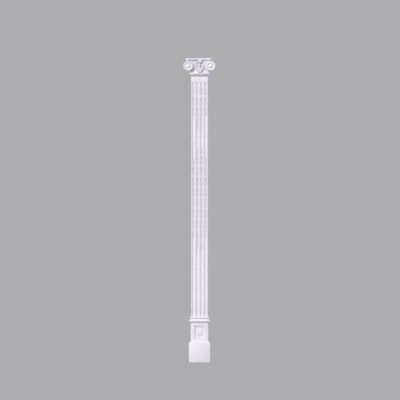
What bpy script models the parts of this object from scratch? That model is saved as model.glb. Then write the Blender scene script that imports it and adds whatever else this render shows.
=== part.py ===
"""A slim fluted wall pilaster in three mouldings: a base, a shaft and a capital.

Metres, +Z up. The pilaster is fixed flat to a wall: its back is the plane y = 0 and its front faces -Y.
The origin is on the back of the shaft, halfway up. X = 0 is the middle of the width.
"""
import math

import bmesh
import bpy
from mathutils import Matrix, Vector

MM = 0.001

# Joint between two mouldings
JOINT = 0.3 * MM

# Shaft: a strip with flutes between flat fillets
SHAFT_LENGTH = 1361 * MM
BACK_THICKNESS = 8 * MM
FLUTES = 4
FLUTE_WIDTH = 13.2 * MM
FLUTE_DEPTH = 5 * MM
FILLET_WIDTH = 10 * MM
EDGE_WIDTH = 5.6 * MM
HEAD_BAND = 38.5 * MM
FLUTE_SIDES = 14
SHAFT_WIDTH = FLUTES * FLUTE_WIDTH + (FLUTES - 1) * FILLET_WIDTH + 2 * EDGE_WIDTH
SHAFT_DEPTH = BACK_THICKNESS + FLUTE_DEPTH
SHAFT_TOP = SHAFT_LENGTH / 2
SHAFT_BOTTOM = -SHAFT_LENGTH / 2

# Chains in the flutes: a leafy flower and a rosette in every repeat, and a last leafy flower
REPEAT = 60.4 * MM
CHAIN_MARGIN = 0.4 * MM
CHAIN_SIDES = 8
TAIL_LENGTH = 7 * MM
UPPER_STEM = 39.5 * MM
UPPER_REPEATS = 3
MIDDLE_TOP = 403 * MM
MIDDLE_STEM = 6 * MM
PLAIN_FOOT = 380 * MM
# Places along a repeat, and radii as shares of the full one
LEAFY_FLOWER = ((0.05, 0.92), (0.18, 1), (0.23, 0.6), (0.27, 0.88))
ROSETTE = ((0.5, 0.3), (0.56, 0.9), (0.69, 0.96), (0.75, 0.42), (0.79, 0.72), (0.95, 0.3))
STEM = ((0.12, 0.35), (0.5, 0.6))

# The castings stand this far off the wall before their mouldings step out
REVEAL = 4 * MM
CASTING_DEPTH = SHAFT_DEPTH + REVEAL

# Base, from the floor up
PLINTH_HEIGHT = 109 * MM
PLINTH_OUT = 13 * MM
WEATHERING = 10.5 * MM
DIE_HEIGHT = 104 * MM
DIE_OUT = 2.5 * MM
COVE_HEIGHT = 7 * MM
LIP_OUT = 12.8 * MM
LIP_HEIGHT = 2 * MM
FLARE_HEIGHT = 12 * MM
# Its places along the height, and how far out they are of the way from the quirk to the lip
FLARE_CURVE = ((1 / 3, 0.62), (2 / 3, 0.25))
QUIRK_OUT = 4 * MM
QUIRK_HEIGHT = 3.5 * MM
CROWN_OUT = 8.5 * MM
CROWN_HEIGHT = 8 * MM
ROUNDING_SHARE = 1 / 3
MOULDING_STEPS = 4
DRAFT = 0.5 * MM

# Sunk panel in the die, with its raised field
PANEL_SIDE_BORDER = 20 * MM
PANEL_END_BORDER = 18 * MM
PANEL_SLOPE = 9 * MM
PANEL_SINK = 6 * MM
FIELD_MARGIN = 6 * MM
FIELD_SLOPE = 6.5 * MM
FIELD_RISE = 3.5 * MM

# Capital, from the shaft up
CAPITAL_HEIGHT = 101 * MM
FOOT_OUT = 1 * MM
FOOT_HEIGHT = 10.5 * MM
ASTRAGAL_OUT = 10 * MM
ASTRAGAL_HEIGHT = 7.5 * MM
ASTRAGAL_FOOT_OUT = 8.5 * MM
NECK_OUT = 2.4 * MM
NECK_HEIGHT = 11 * MM
BELL_OUT = 13 * MM
ABACUS_HEIGHT = 11 * MM
ABACUS_OUT = 32 * MM
ABACUS_FRONT_OUT = 30 * MM
ABACUS_HOLLOW = 9 * MM
HORN_CUT = 17 * MM
SIDE_HOLLOW = 6 * MM
NECKING_HEIGHT = 6.5 * MM
NECKING_SET_BACK = 9 * MM
ABACUS_HALF = SHAFT_WIDTH / 2 + ABACUS_OUT
ABACUS_DEPTH = CASTING_DEPTH + ABACUS_FRONT_OUT
ABACUS_BOTTOM = CAPITAL_HEIGHT - ABACUS_HEIGHT
NECK_BOTTOM = FOOT_HEIGHT + ASTRAGAL_HEIGHT
NECK_TOP = NECK_BOTTOM + NECK_HEIGHT

# Smooth arms that swell from the bell to the volutes
ARM_INNER = 10 * MM
ARM_OUTER = 62 * MM
ARM_FOOT_OUTER = 48 * MM
ARM_HEIGHT = 54 * MM
ARM_FOOT_OUT = 3 * MM
ARM_INNER_OUT = 13 * MM
ARM_OUTER_OUT = 19 * MM

# Volutes under the abacus's corners
VOLUTE_RADIUS = 28 * MM
VOLUTE_OUT = 17.5 * MM
VOLUTE_DROP = 5.5 * MM
VOLUTE_ROOT = 5 * MM
VOLUTE_SET_BACK = 11 * MM
VOLUTE_X = SHAFT_WIDTH / 2 + VOLUTE_OUT
VOLUTE_Z = ABACUS_BOTTOM - VOLUTE_DROP - VOLUTE_RADIUS
VOLUTE_BACK = CASTING_DEPTH - VOLUTE_ROOT
VOLUTE_FRONT = ABACUS_DEPTH - VOLUTE_SET_BACK
VOLUTE_TURNS = 1
VOLUTE_SHRINK = 0.01
VOLUTE_EYE = 13 * MM

# Small scrolls beside the flower
SCROLL_RADIUS = 7.5 * MM
SCROLL_X = 21 * MM
SCROLL_DROP = 4.5 * MM
SCROLL_BACK_OUT = 1 * MM
SCROLL_SET_BACK = 14 * MM
SCROLL_Z = ABACUS_BOTTOM - SCROLL_DROP - SCROLL_RADIUS
SCROLL_BACK = CASTING_DEPTH + SCROLL_BACK_OUT
SCROLL_FRONT = ABACUS_DEPTH - SCROLL_SET_BACK
SCROLL_TURNS = 1
SCROLL_SHRINK = 0.075
SCROLL_EYE = 2.6 * MM

# Their winding: band and eye thickness as shares of the radius
BAND_SHARE = 0.15
EYE_SHARE = 0.26
LEAD_STEPS = 4
STEPS_PER_TURN = 14

# Leaves of the bell: rows of (foot above the neck, foot out, reach, width, sideways angles in degrees)
LEAF_ROWS = (
    (8 * MM, 4 * MM, 38 * MM, 19 * MM, (-38, -13, 13, 38)),
    (2 * MM, 7 * MM, 29 * MM, 17 * MM, (-33, 0, 33)),
    (-6 * MM, 9 * MM, 18 * MM, 13 * MM, (-31, 0, 31)),
)
LEAF_FOOT_SPREAD = 0.45
LEAF_FOOT_SHARE = 0.85
LEAF_WIDENING = 0.35
LEAF_THICKNESS = 0.06
LEAF_LOBES = 3
LEAF_LOBE_DEPTH = 0.12
LEAF_SIDES = 6
LEAF_STATIONS = 10
# A leaf rises almost straight for this share of its length, swells out, and then curls over at its tip
LEAF_BODY = 0.7
LEAF_BODY_REACH = 0.86
LEAF_SWELL = 0.08
LEAF_LEAN = 0.27
CURL_RADIUS = 0.17
CURL_TURN = 2.1
# Swelling of the bell that the leaves lie on
LEAF_BED = (22 * MM, 9 * MM, 25 * MM)
LEAF_BED_TAPER = 0.35
LEAF_BED_RISE = 21 * MM

# Bud in the middle of the abacus, with petals at its sides and a leaf that hangs under it
FLOWER_DROP = 3 * MM
FLOWER_Z = ABACUS_BOTTOM - FLOWER_DROP
PETAL_ANGLES = (-125, -80, 80, 125)
PETAL_STATIONS = 5
PETAL_LENGTH = 13 * MM
PETAL_WIDTH = 10 * MM
PENDANT_STATIONS = 7
PENDANT_LENGTH = 31 * MM
PENDANT_WIDTH = 15 * MM
BUD_HALF_WIDTH = 6.5 * MM
BUD_THICKNESS = 6 * MM
BUD_HALF_HEIGHT = 8.5 * MM

WHITE = (0.86, 0.85, 0.87, 1)
OVERSHOOT = 2 * MM
WELD = 0.01 * MM


def clear_scene():
    """Start from an empty scene."""
    for thing in list(bpy.data.objects):
        bpy.data.objects.remove(thing)


def collection(name, parent):
    """A new collection inside another."""
    group = bpy.data.collections.new(name)
    parent.children.link(group)
    return group


def primer(name):
    """White satin primer of one moulding."""
    material = bpy.data.materials.new(name)
    material.use_nodes = True
    shader = material.node_tree.nodes["Principled BSDF"]
    shader.inputs["Base Color"].default_value = WHITE
    shader.inputs["Roughness"].default_value = 0.45
    shader.inputs["Metallic"].default_value = 0
    return material


def place(bm, name, group):
    """Make an object of a bmesh and put it in a collection."""
    bmesh.ops.recalc_face_normals(bm, faces=bm.faces)
    mesh = bpy.data.meshes.new(name)
    bm.to_mesh(mesh)
    bm.free()
    thing = bpy.data.objects.new(name, mesh)
    group.objects.link(thing)
    return thing


def as_tool(thing):
    """Mark an object as a wire guide, which is no piece of the pilaster."""
    thing.display_type = "WIRE"
    thing.hide_render = True
    return thing


def combine(thing, group, operation):
    """Cut a collection's solids out of an object, or fuse them with it."""
    boolean = thing.modifiers.new(group.name, "BOOLEAN")
    boolean.operation = operation
    boolean.solver = "EXACT"
    boolean.operand_type = "COLLECTION"
    boolean.collection = group


def mesh_of_curve(curve, name, group):
    """Turn a curve into a closed mesh tool."""
    source = bpy.data.objects.new(name, curve)
    group.objects.link(source)
    graph = bpy.context.evaluated_depsgraph_get()
    mesh = bpy.data.meshes.new_from_object(source.evaluated_get(graph))
    bm = bmesh.new()
    bm.from_mesh(mesh)
    bmesh.ops.remove_doubles(bm, verts=bm.verts, dist=WELD)
    matrix = source.matrix_world.copy()
    bpy.data.objects.remove(source)
    tool = place(bm, name, group)
    tool.matrix_world = matrix
    return as_tool(tool)


def outline_slab(outline, low, high, name, group, upright=False):
    """A slab of an outline: in plan, between two heights, or upright, between two places along Y."""
    curve = bpy.data.curves.new(name, "CURVE")
    curve.dimensions = "2D"
    curve.fill_mode = "BOTH"
    curve.extrude = (high - low) / 2
    spline = curve.splines.new("POLY")
    spline.points.add(len(outline) - 1)
    for point, (x, y) in zip(spline.points, outline):
        point.co = (x, y, 0, 1)
    spline.use_cyclic_u = True
    tool = mesh_of_curve(curve, name, group)
    if upright:
        tool.rotation_euler.x = math.pi / 2
        tool.location.y = (high + low) / 2
    else:
        tool.location.z = (high + low) / 2
    return tool


def tube(points, radius, name, group):
    """A round band along points."""
    curve = bpy.data.curves.new(name, "CURVE")
    curve.dimensions = "3D"
    curve.bevel_depth = radius
    curve.bevel_resolution = 1
    curve.use_fill_caps = True
    spline = curve.splines.new("POLY")
    spline.points.add(len(points) - 1)
    for point, place_of_point in zip(spline.points, points):
        point.co = (*place_of_point, 1)
    return mesh_of_curve(curve, name, group)


def ball(centre, radii, name, group):
    """A ball with its own radius in each direction."""
    bm = bmesh.new()
    matrix = Matrix.Translation(centre) @ Matrix.Diagonal((*radii, 1))
    bmesh.ops.create_uvsphere(bm, u_segments=8, v_segments=6, radius=1, matrix=matrix)
    return as_tool(place(bm, name, group))


def slanted_block(z, half_width, half_height, slope, y_front, y_back, name, group):
    """A block on the middle line whose four sides lean in by a slope from its front to its back."""
    bm = bmesh.new()
    bmesh.ops.create_cube(bm, size=2)
    for vert in bm.verts:
        at_back = vert.co.y > 0
        inset = slope if at_back else 0
        vert.co.x = math.copysign(half_width - inset, vert.co.x)
        vert.co.z = z + math.copysign(half_height - inset, vert.co.z)
        vert.co.y = y_back if at_back else y_front
    return as_tool(place(bm, name, group))


def moulded_stack(name, group, bottom, profile):
    """A moulding that returns round both sides, from (height, step out) points, bottom to top."""
    bm = bmesh.new()
    bmesh.ops.create_grid(bm, x_segments=1, y_segments=1, size=1)
    section = list(bm.verts)
    face = bm.faces[:][0]
    for index, (height, out) in enumerate(profile):
        if index:
            grown = bmesh.ops.extrude_face_region(bm, geom=[face])["geom"]
            if index > 1:
                bmesh.ops.delete(bm, geom=[face], context="FACES_ONLY")
            section = [item for item in grown if isinstance(item, bmesh.types.BMVert)]
            face = next(item for item in grown if isinstance(item, bmesh.types.BMFace))
        else:
            for vert in section:
                vert.co.y = -1 if vert.co.y < 0 else 0
        for vert in section:
            vert.co.x = math.copysign(SHAFT_WIDTH / 2 + out, vert.co.x)
            vert.co.y = -(CASTING_DEPTH + out) if vert.co.y < 0 else 0
            vert.co.z = bottom + height
    return place(bm, name, group)


def hollow_curve(start, end):
    """Points of a hollow moulding that starts upright, from one (height, step out) point to another."""
    points = []
    for step in range(1, MOULDING_STEPS + 1):
        turn = math.pi / 2 * step / MOULDING_STEPS
        height = start[0] + (end[0] - start[0]) * math.sin(turn)
        out = start[1] + (end[1] - start[1]) * (1 - math.cos(turn))
        points.append((height, out))
    return points


def half_round(bottom, height, inner, outer):
    """Points of a half-round moulding, bottom to top."""
    points = []
    for step in range(MOULDING_STEPS + 1):
        turn = math.pi * step / MOULDING_STEPS
        points.append((bottom + height * (1 - math.cos(turn)) / 2, inner + (outer - inner) * math.sin(turn)))
    return points


def flute_centres():
    """The flutes' places across the shaft."""
    pitch = FLUTE_WIDTH + FILLET_WIDTH
    return [(index - (FLUTES - 1) / 2) * pitch for index in range(FLUTES)]


def chain_profile(stem, repeats):
    """Outer side of a chain, top to bottom, as (radius, height) points."""
    full = FLUTE_WIDTH / 2 - CHAIN_MARGIN
    points = [(0, 0)]
    points += [(radius * full, -along * stem) for along, radius in STEM]
    for index in range(repeats + 1):
        top = -stem - index * REPEAT
        shapes = LEAFY_FLOWER + ROSETTE if index < repeats else LEAFY_FLOWER
        points += [(radius * full, top - along * REPEAT) for along, radius in shapes]
    points.append((0, points[-1][1] - TAIL_LENGTH))
    return points


def flower_chain(x, top, stem, repeats, name, group):
    """A turned chain of flowers, flattened and sunk to half its thickness in a flute."""
    profile = chain_profile(stem, repeats)
    mesh = bpy.data.meshes.new(name)
    links = [(index, index + 1) for index in range(len(profile) - 1)]
    mesh.from_pydata([(radius, 0, height) for radius, height in profile], links, [])
    chain = bpy.data.objects.new(name, mesh)
    group.objects.link(chain)
    screw = chain.modifiers.new("Turned", "SCREW")
    screw.steps = screw.render_steps = CHAIN_SIDES
    screw.use_merge_vertices = True
    screw.merge_threshold = WELD
    chain.location = (x, -BACK_THICKNESS, top)
    relief = (FLUTE_DEPTH - CHAIN_MARGIN) / (FLUTE_WIDTH / 2 - CHAIN_MARGIN)
    chain.scale = (1, relief, 1)
    return as_tool(chain)


def middle_repeats():
    """How many repeats the middle chain of an inner flute has room for."""
    last_flower = LEAFY_FLOWER[-1][0] * REPEAT + TAIL_LENGTH
    room = SHAFT_LENGTH - MIDDLE_TOP - PLAIN_FOOT - MIDDLE_STEM - last_flower
    return max(2, int(room / REPEAT))


def make_shaft(parts, tools):
    """The flat strip with its flutes and the chains in them; the outer flutes have shorter chains."""
    bm = bmesh.new()
    size = Matrix.Diagonal((SHAFT_WIDTH, SHAFT_DEPTH, SHAFT_LENGTH, 1))
    bmesh.ops.create_cube(bm, size=1, matrix=Matrix.Translation((0, -SHAFT_DEPTH / 2, 0)) @ size)
    shaft = place(bm, "shaft", parts)

    cuts = collection("flutes", tools)
    chains = collection("chains", tools)
    radius = ((FLUTE_WIDTH / 2) ** 2 + FLUTE_DEPTH ** 2) / (2 * FLUTE_DEPTH)
    axis_y = -(BACK_THICKNESS + radius)
    top = SHAFT_TOP - HEAD_BAND
    bottom = SHAFT_BOTTOM - OVERSHOOT
    for index, x in enumerate(flute_centres()):
        bm = bmesh.new()
        bmesh.ops.create_cone(bm, cap_ends=True, segments=FLUTE_SIDES, radius1=radius, radius2=radius,
                              depth=top - bottom, matrix=Matrix.Translation((x, axis_y, (top + bottom) / 2)))
        as_tool(place(bm, f"flute_{index}", cuts))
        shorter = 1 if index in (0, FLUTES - 1) else 0
        flower_chain(x, top, UPPER_STEM, UPPER_REPEATS - shorter, f"upper_chain_{index}", chains)
        flower_chain(x, SHAFT_TOP - MIDDLE_TOP - shorter * REPEAT, MIDDLE_STEM,
                     middle_repeats() - 2 * shorter, f"middle_chain_{index}", chains)
    combine(shaft, cuts, "DIFFERENCE")
    combine(shaft, chains, "UNION")
    return shaft


def make_base(parts, tools):
    """Plinth, die with a sunk and fielded panel, and the mouldings that carry the shaft."""
    die_bottom = PLINTH_HEIGHT + WEATHERING
    die_top = die_bottom + DIE_HEIGHT
    lip_bottom = die_top + COVE_HEIGHT
    lip_top = lip_bottom + LIP_HEIGHT
    flare_top = lip_top + FLARE_HEIGHT
    quirk_top = flare_top + QUIRK_HEIGHT
    crown_top = quirk_top + CROWN_HEIGHT
    profile = [(0, PLINTH_OUT), (PLINTH_HEIGHT, PLINTH_OUT), (die_bottom, DIE_OUT), (die_top, DIE_OUT)]
    profile += hollow_curve((die_top, DIE_OUT), (lip_bottom, LIP_OUT))
    profile += [(lip_top, LIP_OUT)]
    profile += [(lip_top + FLARE_HEIGHT * along, QUIRK_OUT + (LIP_OUT - QUIRK_OUT) * out)
                for along, out in FLARE_CURVE]
    profile += [(flare_top, QUIRK_OUT), (quirk_top, QUIRK_OUT)]
    profile += [(quirk_top + DRAFT, CROWN_OUT), (crown_top - CROWN_HEIGHT * ROUNDING_SHARE, CROWN_OUT)]
    profile += [(crown_top, QUIRK_OUT)]
    bottom = SHAFT_BOTTOM - JOINT - crown_top
    base = moulded_stack("base", parts, bottom, profile)

    cuts = collection("panel", tools)
    fields = collection("panel field", tools)
    face = -(CASTING_DEPTH + DIE_OUT)
    floor = face + PANEL_SINK
    middle = bottom + (die_bottom + die_top) / 2
    half_width = SHAFT_WIDTH / 2 + DIE_OUT - PANEL_SIDE_BORDER
    half_height = DIE_HEIGHT / 2 - PANEL_END_BORDER
    spread = PANEL_SLOPE * OVERSHOOT / PANEL_SINK
    slanted_block(middle, half_width + spread, half_height + spread, PANEL_SLOPE + spread,
                  face - OVERSHOOT, floor, "sinking", cuts)
    inset = PANEL_SLOPE + FIELD_MARGIN + FIELD_SLOPE
    slanted_block(middle, half_width - inset, half_height - inset, -FIELD_SLOPE,
                  floor - FIELD_RISE, floor + DRAFT, "field", fields)
    combine(base, cuts, "DIFFERENCE")
    combine(base, fields, "UNION")
    return base


def abacus_outline(half, depth):
    """Plan of the abacus: hollow sides and front, with its two front corners cut off."""
    horn = half - HORN_CUT
    side = []
    for step in range(3):
        along = step / 2
        side.append((half - SIDE_HOLLOW * (1 - along), -(depth - HORN_CUT) * along))
    front = []
    steps = 2 * MOULDING_STEPS
    for step in range(steps + 1):
        across = 1 - 2 * step / steps
        front.append((horn * across, -(depth - ABACUS_HOLLOW * (1 - across ** 2))))
    left = [(-x, y) for x, y in reversed(side)]
    return side + front + left


def scroll_winding(x, z, reach, turns, shrink, side, hand):
    """Points (x, z) of a scroll that winds in from its top, away from the middle (1) or towards it (-1)."""
    steps = round(STEPS_PER_TURN * turns)
    points = []
    for step in range(steps + 1):
        turn = 2 * math.pi * turns * step / steps
        now = reach * math.exp(-shrink * turn)
        points.append((side * (x + hand * now * math.sin(turn)), z + now * math.cos(turn)))
    return points


def scroll(kind, side, hand, bottom, x, z, radius, eye, turns, shrink, back, front, lead, group):
    """A scroll: its body, the band that leads to its top and winds round it, and its eye."""
    band = radius * BAND_SHARE
    reach = radius - band
    winding = scroll_winding(x, bottom + z, reach, turns, shrink, side, hand)
    path = [(side * across, -out, bottom + height) for across, out, height in lead]
    path += [(across, -front, height) for across, height in winding]
    tube(path, band, f"{kind}_band", group)
    outline_slab(winding[:STEPS_PER_TURN], -front, -back, f"{kind}_body", group, upright=True)
    ball((side * x, -front, bottom + z), (eye, radius * EYE_SHARE, eye), f"{kind}_eye", group)


def volute_lead():
    """Points (across, out, above the foot) of the band from the small scroll's top to the volute's."""
    band = VOLUTE_RADIUS * BAND_SHARE
    start = Vector((SCROLL_X, SCROLL_FRONT - band, SCROLL_Z + SCROLL_RADIUS - band / 2))
    end = Vector((VOLUTE_X, VOLUTE_FRONT, VOLUTE_Z + VOLUTE_RADIUS * (1 - BAND_SHARE)))
    return [start.lerp(end, step / LEAD_STEPS) for step in range(LEAD_STEPS)]


def arm(side, bottom, group):
    """A wedge that swells from the bell to a volute, out of the wall below the abacus."""
    bm = bmesh.new()
    bmesh.ops.create_cube(bm, size=2)
    top = ABACUS_BOTTOM - NECKING_HEIGHT + OVERSHOOT
    for vert in bm.verts:
        outer, upper, at_back = vert.co.x > 0, vert.co.z > 0, vert.co.y > 0
        out, reach = ARM_FOOT_OUT, ARM_FOOT_OUTER
        if upper:
            out, reach = ARM_OUTER_OUT if outer else ARM_INNER_OUT, ARM_OUTER
        vert.co.x = side * (reach if outer else ARM_INNER)
        vert.co.y = -VOLUTE_BACK if at_back else -(CASTING_DEPTH + out)
        vert.co.z = bottom + top - (0 if upper else ARM_HEIGHT)
    return as_tool(place(bm, f"arm_{side}", group))


def leaf_line(along, reach):
    """Middle line of a leaf: how far it has risen, how far it stands out, and its lean."""
    body = min(along / LEAF_BODY, 1)
    rise = reach * LEAF_BODY_REACH * body
    out = reach * LEAF_SWELL * body ** 3
    lean = LEAF_LEAN * body ** 2
    if along > LEAF_BODY:
        lean += CURL_TURN * (along - LEAF_BODY) / (1 - LEAF_BODY)
        rise += reach * CURL_RADIUS * (math.sin(lean) - math.sin(LEAF_LEAN))
        out += reach * CURL_RADIUS * (math.cos(LEAF_LEAN) - math.cos(lean))
    return rise, out, lean


def leaf(foot, reach, width, sideways, stations, name, group):
    """An acanthus leaf: a ball drawn out up the bell, along a line that curls over at its tip."""
    bm = bmesh.new()
    bmesh.ops.create_uvsphere(bm, u_segments=LEAF_SIDES, v_segments=stations, radius=1)
    turn = Matrix.Rotation(math.radians(sideways), 3, "Y")
    for vert in bm.verts:
        along = (vert.co.z + 1) / 2
        lobes = 1 + LEAF_LOBE_DEPTH * math.cos(along * 2 * LEAF_LOBES * math.pi)
        breadth = width / 2 * (LEAF_FOOT_SHARE + LEAF_WIDENING * along) * lobes
        rise, out, lean = leaf_line(along, reach)
        thick = vert.co.y * LEAF_THICKNESS * reach * (1 + along)
        vert.co = Vector(foot) + turn @ Vector((vert.co.x * breadth, thick * math.cos(lean) - out,
                                                rise + thick * math.sin(lean)))
    return as_tool(place(bm, name, group))


def leaf_bed(bottom, group):
    """The swelling under the leaves, narrow at its foot."""
    bm = bmesh.new()
    bmesh.ops.create_uvsphere(bm, u_segments=10, v_segments=6, radius=1)
    half, thick, tall = LEAF_BED
    for vert in bm.verts:
        share = LEAF_BED_TAPER + (1 - LEAF_BED_TAPER) * (vert.co.z + 1) / 2
        vert.co = (vert.co.x * half * share, vert.co.y * thick * share - CASTING_DEPTH,
                   vert.co.z * tall + bottom + NECK_TOP + LEAF_BED_RISE)
    return as_tool(place(bm, "leaf_bed", group))


def make_capital(parts, tools):
    """Neck and bell with the abacus, volutes, leaves and flower fused on."""
    bottom = SHAFT_TOP + JOINT
    necking_bottom = ABACUS_BOTTOM - NECKING_HEIGHT
    profile = [(0, FOOT_OUT)]
    profile += half_round(FOOT_HEIGHT, ASTRAGAL_HEIGHT, ASTRAGAL_FOOT_OUT, ASTRAGAL_OUT)
    profile += [(NECK_BOTTOM + DRAFT, NECK_OUT), (NECK_TOP, NECK_OUT)]
    profile += hollow_curve((NECK_TOP, NECK_OUT), (necking_bottom, BELL_OUT))
    profile += [(ABACUS_BOTTOM + ABACUS_HEIGHT / 2, BELL_OUT)]
    capital = moulded_stack("capital", parts, bottom, profile)

    carving = collection("carving", tools)
    outline_slab(abacus_outline(ABACUS_HALF, ABACUS_DEPTH), bottom + ABACUS_BOTTOM, bottom + CAPITAL_HEIGHT,
                 "abacus", carving)
    outline_slab(abacus_outline(ABACUS_HALF - NECKING_SET_BACK, ABACUS_DEPTH - NECKING_SET_BACK),
                 bottom + necking_bottom, bottom + ABACUS_BOTTOM + OVERSHOOT, "necking", carving)
    for side, name in ((-1, "left"), (1, "right")):
        arm(side, bottom, carving)
        scroll(f"{name}_volute", side, 1, bottom, VOLUTE_X, VOLUTE_Z, VOLUTE_RADIUS, VOLUTE_EYE, VOLUTE_TURNS,
               VOLUTE_SHRINK, VOLUTE_BACK, VOLUTE_FRONT, volute_lead(), carving)
        scroll(f"{name}_scroll", side, -1, bottom, SCROLL_X, SCROLL_Z, SCROLL_RADIUS, SCROLL_EYE, SCROLL_TURNS,
               SCROLL_SHRINK, SCROLL_BACK, SCROLL_FRONT, [], carving)
    for row, (rise, foot_out, reach, width, angles) in enumerate(LEAF_ROWS):
        for number, sideways in enumerate(angles):
            foot_x = LEAF_FOOT_SPREAD * width * math.sin(math.radians(sideways))
            foot = (foot_x, -(CASTING_DEPTH + foot_out), bottom + NECK_TOP + rise)
            leaf(foot, reach, width, sideways, LEAF_STATIONS, f"leaf_{row}_{number}", carving)
    leaf_bed(bottom, carving)
    flower(bottom + FLOWER_Z, carving)
    combine(capital, carving, "UNION")
    return capital


def flower(height, group):
    """The bud on the middle of the abacus, its petals, and the leaf that hangs under it."""
    centre = (0, ABACUS_HOLLOW - ABACUS_DEPTH, height)
    for number, sideways in enumerate(PETAL_ANGLES):
        leaf(centre, PETAL_LENGTH, PETAL_WIDTH, sideways, PETAL_STATIONS, f"petal_{number}", group)
    pendant_foot = (0, centre[1] + PETAL_WIDTH, height)
    leaf(pendant_foot, PENDANT_LENGTH, PENDANT_WIDTH, 180, PENDANT_STATIONS, "pendant", group)
    ball(centre, (BUD_HALF_WIDTH, BUD_THICKNESS, BUD_HALF_HEIGHT), "bud", group)


def main():
    clear_scene()
    scene_root = bpy.context.scene.collection
    parts = collection("pilaster", scene_root)
    tools = collection("cutters", scene_root)
    for make in (make_base, make_shaft, make_capital):
        piece = make(parts, tools)
        piece.data.materials.append(primer(f"{piece.name} primer"))


main()
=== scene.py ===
"""Dresses a slim fluted wall pilaster of three mouldings: a base, a shaft and a capital.

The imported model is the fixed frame. Metres, +Z up: the flat back is the plane y = 0 and the front faces -Y.
Each class below makes one moulding in full detail, in the place of the solid with the same name.
"""
import logging
import math
from collections.abc import Callable, Sequence
from dataclasses import dataclass
from enum import Enum

import bmesh
import bpy
from mathutils import Matrix, Vector
from mathutils.bvhtree import BVHTree


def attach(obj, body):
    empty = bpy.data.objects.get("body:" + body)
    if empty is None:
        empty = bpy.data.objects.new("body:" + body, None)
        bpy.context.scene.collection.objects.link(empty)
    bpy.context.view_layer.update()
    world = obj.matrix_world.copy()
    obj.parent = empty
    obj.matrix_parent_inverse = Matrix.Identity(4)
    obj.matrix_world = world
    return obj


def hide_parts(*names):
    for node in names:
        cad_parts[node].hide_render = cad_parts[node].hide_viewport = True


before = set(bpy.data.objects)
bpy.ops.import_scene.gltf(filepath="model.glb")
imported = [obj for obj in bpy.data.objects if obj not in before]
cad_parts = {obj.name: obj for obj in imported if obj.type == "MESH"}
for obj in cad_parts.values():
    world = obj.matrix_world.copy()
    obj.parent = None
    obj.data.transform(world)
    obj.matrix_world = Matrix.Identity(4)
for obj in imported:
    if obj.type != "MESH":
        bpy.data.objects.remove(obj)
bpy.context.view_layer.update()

MM = 0.001
# Points that lie closer than this are merged
WELD = 0.002 * MM
# How far off a face the rays start that look for hollows
RAY_START = 0.05 * MM
# The values between which a noise texture mostly lies
NOISE_RANGE = (0.3, 0.7)
LOG = logging.getLogger("pilaster")
Place = Callable[[float, float], Sequence[float]]
Profile = list[tuple[float, float]]


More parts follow.
